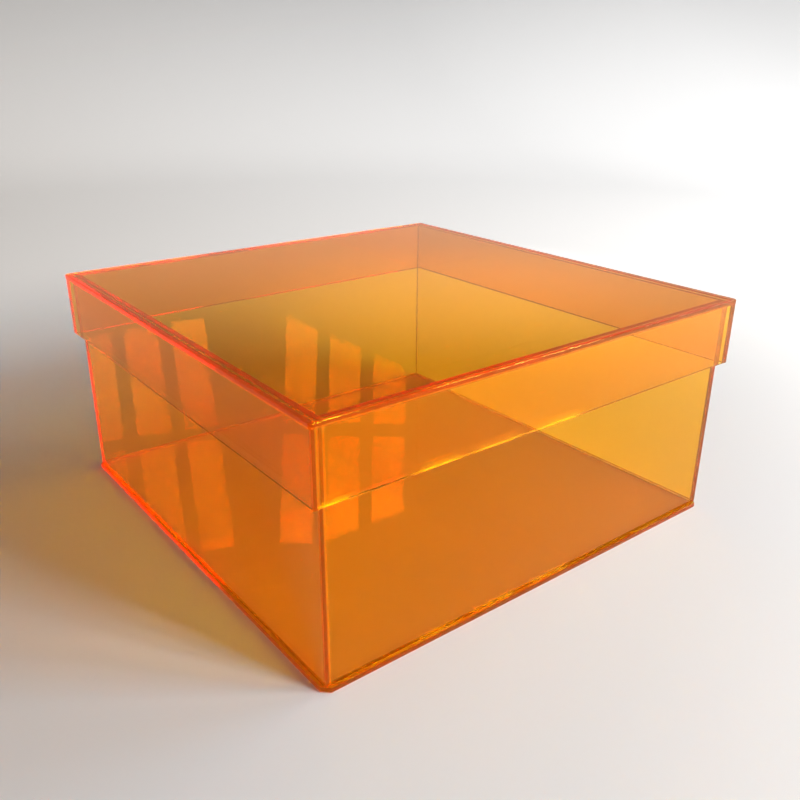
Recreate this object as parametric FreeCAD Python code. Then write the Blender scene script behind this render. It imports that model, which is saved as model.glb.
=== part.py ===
import FreeCAD, Part
import os

# Storage box with a lift-off lid, cemented together from one thickness of clear orange acrylic sheet.
# Millimetres, +Z up. The origin is on the table below the middle of the box, and the front faces -Y.

# Driving dimensions
sheet = 3.0              # thickness of every panel
lid_width = 300.0        # lid top panel along X
lid_depth = 300.0        # lid top panel along Y
box_height = 140.0       # table to the top face of the closed lid
lid_height = 40.0        # top face of the lid to the lower edge of its skirts
lid_overhang = 0.5       # lid top panel past the outer faces of the skirts
lid_corner_cut = 1.5     # leg of the clipped corners of the lid top panel
side_clearance = 2.0     # skirt to wall at the left and right
end_clearance = 0.8      # skirt to wall at the front and back
base_overhang = 1.8      # base panel past the outer faces of the walls
base_corner_cut = 4.0    # leg of the clipped corners of the base panel
arris = 0.3              # broken edge of the cut sheet, where it is left open
box_bead = 0.6           # leg of the cement fillets inside the box
lid_bead = 0.4           # leg of the cement fillets inside the lid
bead_fullness = 0.38     # where a fillet's hollow face crosses its diagonal, as a share of the leg

# Levels and half sizes that follow from them
floor_level = sheet
rim_level = box_height - sheet
skirt_edge_level = box_height - lid_height
skirt_half_x = lid_width / 2 - lid_overhang
skirt_half_y = lid_depth / 2 - lid_overhang
wall_half_x = skirt_half_x - sheet - side_clearance
wall_half_y = skirt_half_y - sheet - end_clearance
base_half_x = wall_half_x + base_overhang
base_half_y = wall_half_y + base_overhang

same_place = 1e-6        # two coordinates nearer than this are one


def at(value, target):
    return abs(value - target) < same_place


def break_edges(solid, edges):
    return solid.makeChamfer(arris, edges)


def plate(half_x, half_y, bottom, corner_cut):
    # A level panel with its four corners clipped and all its open edges broken.
    blank = Part.makeBox(2 * half_x, 2 * half_y, sheet, FreeCAD.Vector(-half_x, -half_y, bottom))
    corners = [edge for edge in blank.Edges if at(edge.CenterOfMass.z, bottom + sheet / 2)]
    clipped = blank.makeChamfer(corner_cut, corners)
    rims = [edge for edge in clipped.Edges if not at(edge.CenterOfMass.z, bottom + sheet / 2)]
    return break_edges(clipped, rims)


def side_panel(side, half_x, half_y, bottom, top, open_level):
    # An upright panel at the left or right. It runs the full depth, so its cut ends show in front and behind.
    outer = side * half_x
    low_x = min(outer, outer - side * sheet)
    solid = Part.makeBox(sheet, 2 * half_y, top - bottom, FreeCAD.Vector(low_x, -half_y, bottom))
    bonded_level = bottom + top - open_level
    outline = [edge for edge in solid.Edges if at(edge.CenterOfMass.x, outer)]
    return break_edges(solid, [edge for edge in outline if not at(edge.CenterOfMass.z, bonded_level)])


def end_panel(side, half_x, half_y, bottom, top, open_level):
    # An upright panel at the front or back, held between the two side panels.
    outer = side * half_y
    low_y = min(outer, outer - side * sheet)
    inner_x = half_x - sheet
    solid = Part.makeBox(2 * inner_x, sheet, top - bottom, FreeCAD.Vector(-inner_x, low_y, bottom))
    outline = [edge for edge in solid.Edges if at(edge.CenterOfMass.y, outer)]
    return break_edges(solid, [edge for edge in outline if at(edge.CenterOfMass.z, open_level)])


def bead(start, run, leg_a, leg_b):
    # One cement fillet: a corner with two straight legs and a hollow face, drawn out along its seam.
    end_a = start + leg_a
    end_b = start + leg_b
    middle = start + (leg_a + leg_b) * bead_fullness
    hollow_face = Part.Arc(end_a, middle, end_b).toShape()
    outline = [Part.makeLine(start, end_a), hollow_face, Part.makeLine(end_b, start)]
    return Part.Face(Part.Wire(outline)).extrude(run)


def level_beads(half_x, half_y, level, up, leg):
    # Fillets along the four seams between a level panel and the uprights that stand on it or hang from it.
    rise = FreeCAD.Vector(0, 0, up * leg)
    run_x = FreeCAD.Vector(2 * half_x, 0, 0)
    run_y = FreeCAD.Vector(0, 2 * (half_y - leg), 0)
    beads = []
    for side in (-1, 1):
        end_start = FreeCAD.Vector(-half_x, side * half_y, level)
        beads.append(bead(end_start, run_x, FreeCAD.Vector(0, -side * leg, 0), rise))
        side_start = FreeCAD.Vector(side * half_x, leg - half_y, level)
        beads.append(bead(side_start, run_y, FreeCAD.Vector(-side * leg, 0, 0), rise))
    return Part.makeCompound(beads)


def corner_beads(half_x, half_y, bottom, top, leg):
    # Fillets up the four inside corners, one leg short of the level panel and of the open edge.
    run = FreeCAD.Vector(0, 0, top - bottom - 2 * leg)
    beads = []
    for side_x in (-1, 1):
        for side_y in (-1, 1):
            start = FreeCAD.Vector(side_x * half_x, side_y * half_y, bottom + leg)
            leg_x = FreeCAD.Vector(-side_x * leg, 0, 0)
            leg_y = FreeCAD.Vector(0, -side_y * leg, 0)
            beads.append(bead(start, run, leg_x, leg_y))
    return Part.makeCompound(beads)


# The box: four walls standing on the base panel
wall = (wall_half_x, wall_half_y, floor_level, rim_level, rim_level)
box_inside = (wall_half_x - sheet, wall_half_y - sheet)
parts = {
    "base_panel": plate(base_half_x, base_half_y, 0, base_corner_cut),
    "front_wall": end_panel(-1, *wall),
    "back_wall": end_panel(1, *wall),
    "left_wall": side_panel(-1, *wall),
    "right_wall": side_panel(1, *wall),
    "floor_cement_beads": level_beads(*box_inside, floor_level, 1, box_bead),
    "corner_cement_beads": corner_beads(*box_inside, floor_level, rim_level, box_bead),
}

# The lid: four skirts hanging from the top panel, which rests on the rims of the walls
skirt = (skirt_half_x, skirt_half_y, skirt_edge_level, rim_level, skirt_edge_level)
lid_inside = (skirt_half_x - sheet, skirt_half_y - sheet)
parts.update({
    "lid_top_panel": plate(lid_width / 2, lid_depth / 2, rim_level, lid_corner_cut),
    "lid_front_skirt": end_panel(-1, *skirt),
    "lid_back_skirt": end_panel(1, *skirt),
    "lid_left_skirt": side_panel(-1, *skirt),
    "lid_right_skirt": side_panel(1, *skirt),
    "lid_top_cement_beads": level_beads(*lid_inside, rim_level, -1, lid_bead),
    "lid_corner_cement_beads": corner_beads(*lid_inside, skirt_edge_level, rim_level, lid_bead),
})

os.makedirs("parts", exist_ok=True)
for name, shape in parts.items():
    shape.exportStep("parts/" + name + ".step")
    print(name, len(shape.Solids), "solids", round(shape.Volume, 1), "mm3", shape.isValid())
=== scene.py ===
import math
import random

import bmesh
import bpy
from mathutils import Matrix, Vector


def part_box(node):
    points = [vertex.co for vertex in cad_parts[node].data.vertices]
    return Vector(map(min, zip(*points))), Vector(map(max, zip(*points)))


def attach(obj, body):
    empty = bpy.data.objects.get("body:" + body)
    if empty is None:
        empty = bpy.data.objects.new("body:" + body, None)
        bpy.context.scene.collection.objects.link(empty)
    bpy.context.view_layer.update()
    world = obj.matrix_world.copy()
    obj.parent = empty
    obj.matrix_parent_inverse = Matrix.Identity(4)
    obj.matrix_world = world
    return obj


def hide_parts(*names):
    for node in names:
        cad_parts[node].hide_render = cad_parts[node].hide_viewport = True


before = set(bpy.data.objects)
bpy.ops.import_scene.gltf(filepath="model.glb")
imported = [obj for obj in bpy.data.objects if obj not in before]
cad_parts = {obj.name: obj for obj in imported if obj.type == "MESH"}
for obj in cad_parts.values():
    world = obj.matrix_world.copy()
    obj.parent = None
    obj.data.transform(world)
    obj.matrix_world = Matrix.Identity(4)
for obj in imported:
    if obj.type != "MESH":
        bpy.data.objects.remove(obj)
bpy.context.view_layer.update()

scene = bpy.context.scene
mm = 0.001


def setSockets(node, values):
    for name, value in values.items():
        node.inputs[name].default_value = value
    return node


def addNode(tree, kind, values=None, **links):
    node = tree.nodes.new("ShaderNode" + kind)
    setSockets(node, values or {})
    for name, source in links.items():
        tree.links.new(source, node.inputs[name])
    return node


def combine(tree, operation, first, second):
    both = addNode(tree, "Math")
    both.operation = operation
    tree.links.new(first, both.inputs[0])
    tree.links.new(second, both.inputs[1])
    return both.outputs["Value"]


acrylic = {
    "ior": 1.49,
    # absorption per metre is one minus the dye's colour, times its strength
    "dye": (0.9986, 0.884, 0.0),
    "dyeStrength": 1000.0,
    "glint": (1.45, 1.1, 0.0),           # strength of its reflections seen face on, by colour
    "polish": 0.004,                     # roughness of a clean face
    "smear": 0.010,                      # roughness where it has been wiped
    "smearNoise": {"Scale": 14.0, "Detail": 4.0, "Distortion": 1.5},
    "smearFrom": (0.52, 0.78),           # noise between these goes from clean to wiped
    "waveHeight": 0.03 * mm,             # cast sheet isn't quite flat
    "waveNoise": {"Scale": 11.0, "Detail": 1.0},
    "sawn": (0.08, 0.12),                # roughness of a cut edge
    "sawnFrom": (0.3, 0.7),
    "sawHeight": 0.003 * mm,
    "sawNoise": {"Scale": 1.0, "Detail": 2.0},
    "sawPitch": 1500.0,                  # cells of the noise per metre along a cut edge
    "sawRun": 40.0,                      # and across the thickness
    "paintedFaceGlowTint": (1.0, 0.46, 0.02),       # painted glow in place of the fluorescent dye's glow and the light the sheet carries out to its cut edges, redder at the cut edges
    "paintedFaceGlow": 0.03,
    "paintedEdgeGlowTint": (1.0, 0.25, 0.01),
    "paintedEdgeGlow": 0.15,
}


def sheetMaterial(name, thinAxis):
    mat = bpy.data.materials.new(name)
    mat.use_nodes = True
    tree = mat.node_tree
    shader = setSockets(tree.nodes["Principled BSDF"],
                        {"Base Color": (1, 1, 1, 1), "IOR": acrylic["ior"], "Transmission Weight": 1.0,
                         "Specular Tint": (*acrylic["glint"], 1)})
    dye = addNode(tree, "VolumeAbsorption",
                  {"Color": (*acrylic["dye"], 1), "Density": acrylic["dyeStrength"]})
    tree.links.new(dye.outputs["Volume"], tree.nodes["Material Output"].inputs["Volume"])
    place = addNode(tree, "TexCoord").outputs["Object"]
    cut = addNode(tree, "Attribute")
    cut.attribute_name = "cutEdge"
    onEdge = cut.outputs["Fac"]

    # wiped smears on the faces, and the slow waves of cast sheet
    smear = addNode(tree, "TexNoise", acrylic["smearNoise"], Vector=place)
    smearRough = addNode(tree, "MapRange",
                         {"From Min": acrylic["smearFrom"][0], "From Max": acrylic["smearFrom"][1],
                          "To Min": acrylic["polish"], "To Max": acrylic["smear"]},
                         Value=smear.outputs["Fac"])
    wave = addNode(tree, "TexNoise", acrylic["waveNoise"], Vector=place)
    waveRise = addNode(tree, "MapRange", {"To Max": acrylic["waveHeight"]}, Value=wave.outputs["Fac"])

    # saw lines on the cut edges, running across the thickness of the sheet
    pitch = [acrylic["sawRun"] if axis == thinAxis else acrylic["sawPitch"] for axis in "xyz"]
    stretch = addNode(tree, "Mapping", {"Scale": pitch}, Vector=place)
    saw = addNode(tree, "TexNoise", acrylic["sawNoise"], Vector=stretch.outputs["Vector"])
    sawRough = addNode(tree, "MapRange",
                       {"From Min": acrylic["sawnFrom"][0], "From Max": acrylic["sawnFrom"][1],
                        "To Min": acrylic["sawn"][0], "To Max": acrylic["sawn"][1]},
                       Value=saw.outputs["Fac"])
    sawRise = addNode(tree, "MapRange", {"To Max": acrylic["sawHeight"]}, Value=saw.outputs["Fac"])

    rough = addNode(tree, "Mix", Factor=onEdge, A=smearRough.outputs["Result"], B=sawRough.outputs["Result"])
    rise = addNode(tree, "Mix", Factor=onEdge, A=waveRise.outputs["Result"], B=sawRise.outputs["Result"])
    bump = addNode(tree, "Bump", {"Strength": 1.0, "Distance": 1.0}, Height=rise.outputs["Result"])

    # the painted glow counts once, on the outside, and not at every bounce inside the sheet
    outside = addNode(tree, "MapRange", {"To Min": 1.0, "To Max": 0.0},
                      Value=addNode(tree, "NewGeometry").outputs["Backfacing"])
    glow = addNode(tree, "MapRange", {"To Min": acrylic["paintedFaceGlow"], "To Max": acrylic["paintedEdgeGlow"]},
                   Value=onEdge)
    # colour of the painted glow, redder at the cut edges
    tint = addNode(tree, "ValToRGB", Fac=onEdge)
    tint.color_ramp.elements[0].color = (*acrylic["paintedFaceGlowTint"], 1)
    tint.color_ramp.elements[1].color = (*acrylic["paintedEdgeGlowTint"], 1)
    paintedGlowOut = combine(tree, "MULTIPLY", glow.outputs["Result"], outside.outputs["Result"])
    tree.links.new(rough.outputs["Result"], shader.inputs["Roughness"])
    tree.links.new(bump.outputs["Normal"], shader.inputs["Normal"])
    tree.links.new(tint.outputs["Color"], shader.inputs["Emission Color"])
    tree.links.new(paintedGlowOut, shader.inputs["Emission Strength"])
    return mat


sideSheet = sheetMaterial("acrylicSideSheet", "x")
endSheet = sheetMaterial("acrylicEndSheet", "y")
levelSheet = sheetMaterial("acrylicLevelSheet", "z")

cement = {
    "ior": 1.49,
    "tint": (0.99, 0.93, 0.60),
    "tintStrength": 90.0,
    "rough": (0.03, 0.14),
    "roughFrom": (0.35, 0.7),
    "mottle": {"Scale": 180.0, "Detail": 2.0},
    "crumb": (0.93, 0.80, 0.52),
    "crumbShade": (0.86, 0.62, 0.30),
    "crumbFrom": (0.35, 0.65),
    "crumbGrain": {"Scale": 2600.0, "Detail": 2.0},
    "crumbBump": {"Strength": 0.4, "Distance": 0.1 * mm},
    "crumbRough": 0.55,
}


def cementMaterial():
    mat = bpy.data.materials.new("clearCement")
    mat.use_nodes = True
    tree = mat.node_tree
    shader = setSockets(tree.nodes["Principled BSDF"],
                        {"Base Color": (1, 1, 1, 1), "IOR": cement["ior"], "Transmission Weight": 1.0})
    tint = addNode(tree, "VolumeAbsorption",
                   {"Color": (*cement["tint"], 1), "Density": cement["tintStrength"]})
    tree.links.new(tint.outputs["Volume"], tree.nodes["Material Output"].inputs["Volume"])
    place = addNode(tree, "TexCoord").outputs["Object"]
    mottle = addNode(tree, "TexNoise", cement["mottle"], Vector=place)
    rough = addNode(tree, "MapRange",
                    {"From Min": cement["roughFrom"][0], "From Max": cement["roughFrom"][1],
                     "To Min": cement["rough"][0], "To Max": cement["rough"][1]},
                    Value=mottle.outputs["Fac"])
    tree.links.new(rough.outputs["Result"], shader.inputs["Roughness"])
    return mat


def crumbMaterial():
    mat = bpy.data.materials.new("driedCement")
    mat.use_nodes = True
    tree = mat.node_tree
    shader = setSockets(tree.nodes["Principled BSDF"], {"Roughness": cement["crumbRough"]})
    place = addNode(tree, "TexCoord").outputs["Object"]
    grain = addNode(tree, "TexNoise", cement["crumbGrain"], Vector=place)
    shades = addNode(tree, "ValToRGB", Fac=grain.outputs["Fac"])
    dark, light = shades.color_ramp.elements
    dark.position, light.position = cement["crumbFrom"]
    dark.color = (*cement["crumbShade"], 1)
    light.color = (*cement["crumb"], 1)
    bump = addNode(tree, "Bump", cement["crumbBump"], Height=grain.outputs["Fac"])
    tree.links.new(shades.outputs["Color"], shader.inputs["Base Color"])
    tree.links.new(bump.outputs["Normal"], shader.inputs["Normal"])
    return mat


clearCement = cementMaterial()
driedCement = crumbMaterial()
print("materials made")

sheetFit = {
    "weld": 0.02 * mm,      # cemented pieces run this far into each other, so light crosses the seam
    "rest": 0.05 * mm,      # air left under the lid where it rests on the rims
    "arris": 0.3 * mm,
    "arrisSegments": 2,
    "baseCornerCut": 4.0 * mm,
    "lidCornerCut": 1.5 * mm,
    "samePlace": 0.001 * mm,
    "faceOn": 0.999,        # a face turned this nearly along the thin axis isn't a cut edge
}


def finishPiece(bm, name, body, material, node=None):
    mesh = bpy.data.meshes.new(name)
    bm.to_mesh(mesh)
    bm.free()
    mesh.materials.append(material)
    piece = bpy.data.objects.new(name, mesh)
    scene.collection.objects.link(piece)
    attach(piece, body)
    if node is not None:
        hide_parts(node)


def markCutEdges(bm, thinAxis):
    bmesh.ops.recalc_face_normals(bm, faces=bm.faces)
    cutLayer = bm.faces.layers.float.new("cutEdge")
    for face in bm.faces:
        onFace = abs(face.normal["xyz".index(thinAxis)]) > sheetFit["faceOn"]
        face[cutLayer] = 0.0 if onFace else 1.0


def block(low, high):
    bm = bmesh.new()
    bmesh.ops.create_cube(bm, size=1.0)
    bmesh.ops.scale(bm, vec=high - low, verts=bm.verts)
    bmesh.ops.translate(bm, vec=(low + high) / 2, verts=bm.verts)
    return bm


def bevelEdges(bm, edges, offset, segments):
    bmesh.ops.bevel(bm, geom=edges, offset=offset, segments=segments, profile=0.5,
                    affect="EDGES", material=-1)


def middle(edge):
    return (edge.verts[0].co + edge.verts[1].co) / 2


def near(a, b):
    return abs(a - b) < sheetFit["samePlace"]


def levelPanel(node, body, cornerCut):
    low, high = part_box(node)
    bm = block(low, high)
    half = (low.z + high.z) / 2
    bevelEdges(bm, [e for e in bm.edges if near(middle(e).z, half)], cornerCut, 1)
    bevelEdges(bm, [e for e in bm.edges if not near(middle(e).z, half)],
               sheetFit["arris"], sheetFit["arrisSegments"])
    markCutEdges(bm, "z")
    finishPiece(bm, node + "_sheet", body, levelSheet, node)


def uprightPanel(node, body, thinAxis, hangs):
    low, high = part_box(node)
    thin = "xyz".index(thinAxis)
    outer = low[thin] if low[thin] < -high[thin] else high[thin]
    if hangs:
        high.z += sheetFit["weld"]
        openEnd, bonded = low.z, high.z
    else:
        low.z -= sheetFit["weld"]
        high.z -= sheetFit["rest"]
        openEnd, bonded = high.z, low.z
    if thinAxis == "y":
        low.x -= sheetFit["weld"]
        high.x += sheetFit["weld"]
    bm = block(low, high)
    outline = [e for e in bm.edges if near(middle(e)[thin], outer)]
    if thinAxis == "x":
        broken = [e for e in outline if not near(middle(e).z, bonded)]
    else:
        broken = [e for e in outline if near(middle(e).z, openEnd)]
    bevelEdges(bm, broken, sheetFit["arris"], sheetFit["arrisSegments"])
    markCutEdges(bm, thinAxis)
    material = sideSheet if thinAxis == "x" else endSheet
    finishPiece(bm, node + "_sheet", body, material, node)


levelPanel("base_panel", "box", sheetFit["baseCornerCut"])
levelPanel("lid_top_panel", "lid", sheetFit["lidCornerCut"])
for side in ("left", "right"):
    uprightPanel(side + "_wall", "box", "x", False)
    uprightPanel("lid_" + side + "_skirt", "lid", "x", True)
for end in ("front", "back"):
    uprightPanel(end + "_wall", "box", "y", False)
    uprightPanel("lid_" + end + "_skirt", "lid", "y", True)
print("panels cut")

beadShape = {
    "fullness": 0.38,        # where the hollow face crosses the diagonal, as a share of the leg
    "hollowHalf": 0.22,      # half the hollow's flat middle, as a share of the legs
    "slice": 6.0 * mm,       # the run changes thickness about this often
    "thin": 0.88,            # thinnest place, as a share of the full leg
    "seed": 41,
    "crumbs": 9,             # dried drops on each level seam
    "crumbFacets": 2,
    "crumbSize": (0.16 * mm, 0.34 * mm),
    "crumbStretch": (0.7, 1.3),
    "crumbReach": (0.02, 0.98),   # part of the seam that the drops lie on
    "crumbOut": 0.5,              # how far out of the corner they sit, as a share of the legs
}
dice = random.Random(beadShape["seed"])


# one run of cement: the section in the corner of two faces, drawn along the seam
def addBead(bm, start, run, legA, legB):
    weld = sheetFit["weld"]
    sideA, sideB = legA.normalized(), legB.normalized()
    hollow = start + (legA + legB) * beadShape["fullness"]
    section = [bm.verts.new(start - (sideA + sideB) * weld),
               bm.verts.new(start + legA - sideB * weld),
               bm.verts.new(hollow + (legA - legB) * beadShape["hollowHalf"]),
               bm.verts.new(hollow + (legB - legA) * beadShape["hollowHalf"]),
               bm.verts.new(start + legB - sideA * weld)]
    first = bm.faces.new(section)
    bm.normal_update()
    made = bmesh.ops.extrude_face_region(bm, geom=[first], use_keep_orig=True)["geom"]
    bmesh.ops.translate(bm, vec=run, verts=[v for v in made if isinstance(v, bmesh.types.BMVert)])


# the runs of one node, each cut in slices and made uneven
def beadRuns(node, body, seams):
    bm = bmesh.new()
    for start, run, legA, legB in seams:
        own = bmesh.new()
        addBead(own, start, run, legA, legB)
        slices = round(run.length / beadShape["slice"])
        for i in range(1, slices):
            bmesh.ops.bisect_plane(own, geom=own.verts[:] + own.edges[:] + own.faces[:],
                                   plane_co=start + run * i / slices, plane_no=run.normalized())
        along = run.normalized()
        shares = [dice.uniform(beadShape["thin"], 1.0) for _ in range(slices + 1)]
        for vert in own.verts:
            reach = (vert.co - start).dot(along)
            foot = start + along * reach
            vert.co = foot + (vert.co - foot) * shares[round(reach / run.length * slices)]
        bmesh.ops.recalc_face_normals(own, faces=own.faces)
        part = bpy.data.meshes.new("beadPart")
        own.to_mesh(part)
        own.free()
        bm.from_mesh(part)
        bpy.data.meshes.remove(part)
    finishPiece(bm, node + "_runs", body, clearCement, node)


def levelSeams(half, level, up, leg):
    seams = []
    for sign in (-1, 1):
        seams.append((Vector((-half.x, sign * half.y, level)), Vector((2 * half.x, 0, 0)),
                      Vector((0, -sign * leg, 0)), Vector((0, 0, up * leg))))
        seams.append((Vector((sign * half.x, leg - half.y, level)), Vector((0, 2 * (half.y - leg), 0)),
                      Vector((-sign * leg, 0, 0)), Vector((0, 0, up * leg))))
    return seams


def cornerSeams(half, bottom, top, leg):
    return [(Vector((signX * half.x, signY * half.y, bottom + leg)), Vector((0, 0, top - bottom - 2 * leg)),
             Vector((-signX * leg, 0, 0)), Vector((0, -signY * leg, 0)))
            for signX in (-1, 1) for signY in (-1, 1)]


# dried drops of cement along the level seams
def crumbs(name, body, seams):
    bm = bmesh.new()
    for start, run, legA, legB in seams:
        for _ in range(beadShape["crumbs"]):
            size = dice.uniform(*beadShape["crumbSize"])
            along = run * dice.uniform(*beadShape["crumbReach"])
            spot = start + along + (legA + legB) * beadShape["crumbOut"]
            stretch = Vector([dice.uniform(*beadShape["crumbStretch"]) for _ in range(3)]) * size
            made = bmesh.ops.create_icosphere(bm, subdivisions=beadShape["crumbFacets"], radius=1.0)["verts"]
            bmesh.ops.scale(bm, vec=stretch, verts=made)
            bmesh.ops.translate(bm, vec=spot, verts=made)
    for face in bm.faces:
        face.smooth = True
    finishPiece(bm, name, body, driedCement)


def inside(left, front):
    return Vector((-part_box(left)[1].x, -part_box(front)[1].y))


boxInside = inside("left_wall", "front_wall")
lidInside = inside("lid_left_skirt", "lid_front_skirt")
floorLevel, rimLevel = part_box("base_panel")[1].z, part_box("lid_top_panel")[0].z
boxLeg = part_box("corner_cement_beads")[0].z - floorLevel
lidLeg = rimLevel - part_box("lid_corner_cement_beads")[1].z
boxSeams = levelSeams(boxInside, floorLevel, 1, boxLeg)
lidSeams = levelSeams(lidInside, rimLevel, -1, lidLeg)
beadRuns("floor_cement_beads", "box", boxSeams)
beadRuns("corner_cement_beads", "box", cornerSeams(boxInside, floorLevel, rimLevel, boxLeg))
beadRuns("lid_top_cement_beads", "lid", lidSeams)
beadRuns("lid_corner_cement_beads", "lid",
         cornerSeams(lidInside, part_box("lid_front_skirt")[0].z, rimLevel, lidLeg))
crumbs("floor_cement_crumbs", "box", boxSeams)
crumbs("lid_cement_crumbs", "lid", lidSeams)
print("cement run in")

studio = {
    "floorDrop": 0.3 * mm,
    "floorRadius": 1.5,
    "sweepRadius": 0.7,
    "sweepSteps": 10,
    "roundSteps": 64,
    "join": 0.01 * mm,                  # points closer than this are made one
    "paper": (0.80, 0.79, 0.78),
    "paperRough": 0.9,
    "paperShine": 0.2,
    "paperHigh": (0.20, 0.19, 0.18),    # the wall is graduated, darker towards its top
    "highFrom": (0.05, 1.0),
    "wallTop": 1.6,
    "farLight": 0.87,                   # added far from the box for what the camera and the acrylic see
    "farFrom": (0.20, 0.80),            # distances over which it comes in
    "shade": {-0.6: (0.05, 0.05, 0.05),  # tint of that light across the room, in shade at the left
              -0.1: (0.38, 0.345, 0.31),
              1.3: (0.69, 0.685, 0.68),
              1.8: (1.0, 1.0, 1.0)},
    "poolLight": 1.3,                   # a painted pool of light on the floor behind the right side
    "poolPlace": (0.36, 0.34, 0.0),
    "poolFrom": (0.05, 0.34),
    "world": (0.92, 0.95, 1.0),
    "worldSeen": 0.20,
    "worldLight": 0.12,
}


def rayMask(tree, low, high):
    paths = addNode(tree, "LightPath")
    seen = paths.outputs["Is Camera Ray"]
    for kind in ("Is Glossy Ray", "Is Transmission Ray"):
        seen = combine(tree, "MAXIMUM", seen, paths.outputs[kind])
    return addNode(tree, "MapRange", {"To Min": low, "To Max": high}, Value=seen).outputs["Result"]


# 0 at one distance from a place and 1 at another
def distanceRamp(tree, coords, place, start, end):
    distance = addNode(tree, "VectorMath")
    distance.operation = "DISTANCE"
    tree.links.new(coords, distance.inputs[0])
    distance.inputs[1].default_value = place
    ramp = addNode(tree, "MapRange", {"From Min": start, "From Max": end}, Value=distance.outputs["Value"])
    ramp.interpolation_type = "SMOOTHSTEP"
    return ramp


def paperMaterial():
    mat = bpy.data.materials.new("paleStudioPaper")
    mat.use_nodes = True
    tree = mat.node_tree
    shader = setSockets(tree.nodes["Principled BSDF"],
                        {"Roughness": studio["paperRough"], "Specular IOR Level": studio["paperShine"]})
    coords = addNode(tree, "TexCoord").outputs["Object"]
    place = addNode(tree, "SeparateXYZ", Vector=coords)
    upper = addNode(tree, "MapRange", {"From Min": studio["highFrom"][0], "From Max": studio["highFrom"][1]},
                    Value=place.outputs["Z"])
    tones = addNode(tree, "ValToRGB", Fac=upper.outputs["Result"])
    tones.color_ramp.elements[0].color = (*studio["paper"], 1)
    tones.color_ramp.elements[1].color = (*studio["paperHigh"], 1)
    tree.links.new(tones.outputs["Color"], shader.inputs["Base Color"])

    left, right = min(studio["shade"]), max(studio["shade"])
    across = addNode(tree, "MapRange", {"From Min": left, "From Max": right}, Value=place.outputs["X"])
    shades = addNode(tree, "ValToRGB", Fac=across.outputs["Result"])
    stops = shades.color_ramp.elements
    stops[0].color = (*studio["shade"][left], 1)
    stops[1].color = (*studio["shade"][right], 1)
    for x in studio["shade"]:
        if left < x < right:
            stops.new((x - left) / (right - left)).color = (*studio["shade"][x], 1)
    tree.links.new(shades.outputs["Color"], shader.inputs["Emission Color"])
    far = distanceRamp(tree, coords, (0, 0, 0), *studio["farFrom"])
    setSockets(far, {"To Max": studio["farLight"]})
    # the painted pool of light on the floor behind the right side
    pool = distanceRamp(tree, coords, studio["poolPlace"], *studio["poolFrom"])
    setSockets(pool, {"To Min": studio["poolLight"], "To Max": 0.0})
    low = addNode(tree, "MapRange", {"To Min": 1.0, "To Max": 0.0}, Value=upper.outputs["Result"])
    light = combine(tree, "ADD", far.outputs["Result"], pool.outputs["Result"])
    light = combine(tree, "MULTIPLY", light, low.outputs["Result"])
    light = combine(tree, "MULTIPLY", light, rayMask(tree, 0.0, 1.0))
    tree.links.new(light, shader.inputs["Emission Strength"])
    return mat


def paperSweep():
    bm = bmesh.new()
    bottom = -studio["floorDrop"]
    points = [bm.verts.new((0, 0, bottom)), bm.verts.new((studio["floorRadius"], 0, bottom))]
    bend = studio["sweepRadius"]
    for i in range(1, studio["sweepSteps"] + 1):
        turn = math.radians(90 * i / studio["sweepSteps"])
        points.append(bm.verts.new((studio["floorRadius"] + bend * math.sin(turn), 0,
                                    bottom + bend * (1 - math.cos(turn)))))
    points.append(bm.verts.new((studio["floorRadius"] + bend, 0, studio["wallTop"])))
    edges = [bm.edges.new(pair) for pair in zip(points, points[1:])]
    bmesh.ops.spin(bm, geom=edges + points, cent=(0, 0, 0), axis=(0, 0, 1), dvec=(0, 0, 0),
                   angle=math.tau, steps=studio["roundSteps"], use_merge=True)
    bmesh.ops.remove_doubles(bm, verts=bm.verts, dist=studio["join"])
    bmesh.ops.recalc_face_normals(bm, faces=bm.faces)
    for face in bm.faces:
        face.smooth = True
    mesh = bpy.data.meshes.new("paperSweep")
    bm.to_mesh(mesh)
    bm.free()
    mesh.materials.append(paperMaterial())
    sweep = bpy.data.objects.new("paperSweep", mesh)
    scene.collection.objects.link(sweep)


def softLight(name, place, aim, size, power):
    data = bpy.data.lights.new(name, "AREA")
    data.shape = "RECTANGLE"
    data.size, data.size_y = size
    data.energy = power
    lamp = bpy.data.objects.new(name, data)
    lamp.location = place
    lamp.rotation_mode = "QUATERNION"
    lamp.rotation_quaternion = (Vector(aim) - Vector(place)).to_track_quat("-Z", "Y")
    scene.collection.objects.link(lamp)


# two banks of softboxes at the front right, named left and right as seen from the box
keyBanks = {
    "headings": {"left": 140.5, "right": 162.0},
    "powers": {"left": 1.7, "right": 2.5},
    "rise": 27.0,
    "distance": 1.48,
    "rows": 2,
    "columns": 3,
    "pane": (0.085, 0.29),
    "gap": 0.035,
}
sideSoftbox = {"place": (1.42, -0.3, 0.78), "aim": (0, 0, 0.05), "size": (0.8, 0.8), "power": 8.0}


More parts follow.
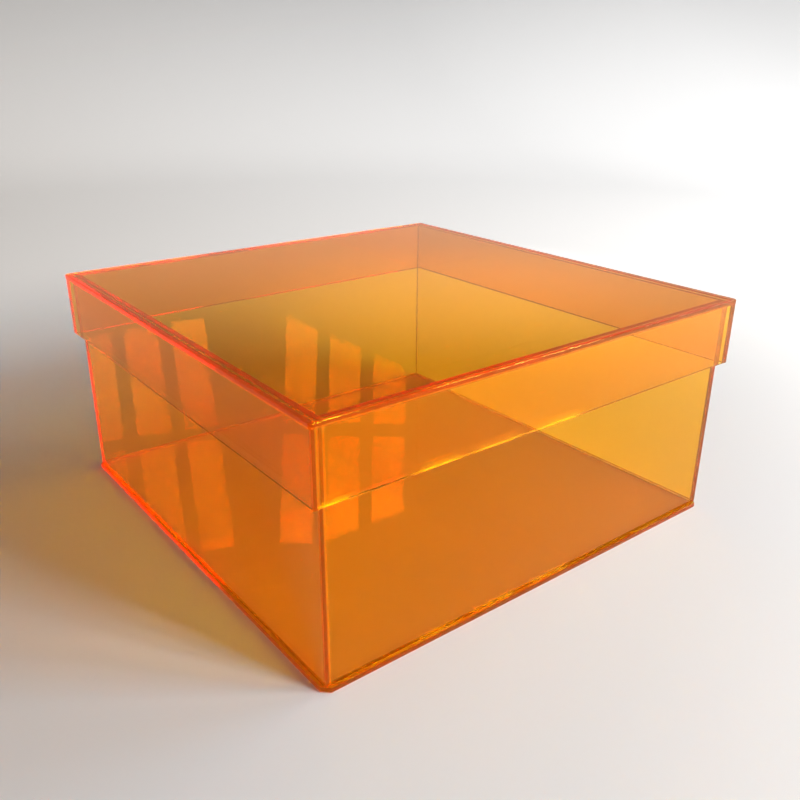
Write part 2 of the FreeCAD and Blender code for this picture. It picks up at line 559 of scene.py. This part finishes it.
def lightBank(name, heading, power, bank):
    turn, rise = math.radians(heading), math.radians(bank["rise"])
    out = Vector((math.sin(turn) * math.cos(rise), math.cos(turn) * math.cos(rise), math.sin(rise)))
    across = out.cross(Vector((0, 0, 1))).normalized()
    up = across.cross(out)
    for row in range(bank["rows"]):
        for column in range(bank["columns"]):
            shift = (across * (column - (bank["columns"] - 1) / 2) * (bank["pane"][0] + bank["gap"])
                     + up * (row - (bank["rows"] - 1) / 2) * (bank["pane"][1] + bank["gap"]))
            place = out * bank["distance"] + shift
            softLight(name + str(row) + str(column), place, shift, bank["pane"], power)


paperSweep()
for side, heading in keyBanks["headings"].items():
    lightBank(side + "Pane", heading, keyBanks["powers"][side], keyBanks)
softLight("rightSoftbox", **sideSoftbox)

world = bpy.data.worlds.new("studioAir")
scene.world = world
world.use_nodes = True
air = setSockets(world.node_tree.nodes["Background"], {"Color": (*studio["world"], 1)})
world.node_tree.links.new(rayMask(world.node_tree, studio["worldLight"], studio["worldSeen"]),
                          air.inputs["Strength"])
print("studio set")

view = {
    "place": (-306.5 * mm, -408.7 * mm, 275.7 * mm),
    "heading": 37.92,     # degrees from +Y towards +X
    "down": 22.62,
    "roll": 0.30,
    "lens": 37.69,
    "sensor": 36.0,
    "nearest": 10 * mm,
}
cameraData = bpy.data.cameras.new("camera")
cameraData.lens = view["lens"]
cameraData.sensor_width = view["sensor"]
cameraData.clip_start = view["nearest"]
camera = bpy.data.objects.new("camera", cameraData)
camera.matrix_world = (Matrix.Translation(view["place"])
                       @ Matrix.Rotation(math.radians(-view["heading"]), 4, "Z")
                       @ Matrix.Rotation(math.radians(90 - view["down"]), 4, "X")
                       @ Matrix.Rotation(math.radians(view["roll"]), 4, "Z"))
scene.collection.objects.link(camera)
scene.camera = camera

# light zigzags inside the sheets before it leaves at a cut edge, so it needs many bounces
lightPaths = {"bounces": 128, "transmission": 128, "glossy": 128, "diffuse": 4, "transparent": 16}
scene.view_settings.view_transform = "Standard"
scene.cycles.blur_glossy = 0.0      # or the sheets would cast dark shadows, as if frosted
scene.cycles.max_bounces = lightPaths["bounces"]
scene.cycles.transmission_bounces = lightPaths["transmission"]
scene.cycles.glossy_bounces = lightPaths["glossy"]
scene.cycles.diffuse_bounces = lightPaths["diffuse"]
scene.cycles.transparent_max_bounces = lightPaths["transparent"]
print("camera set")
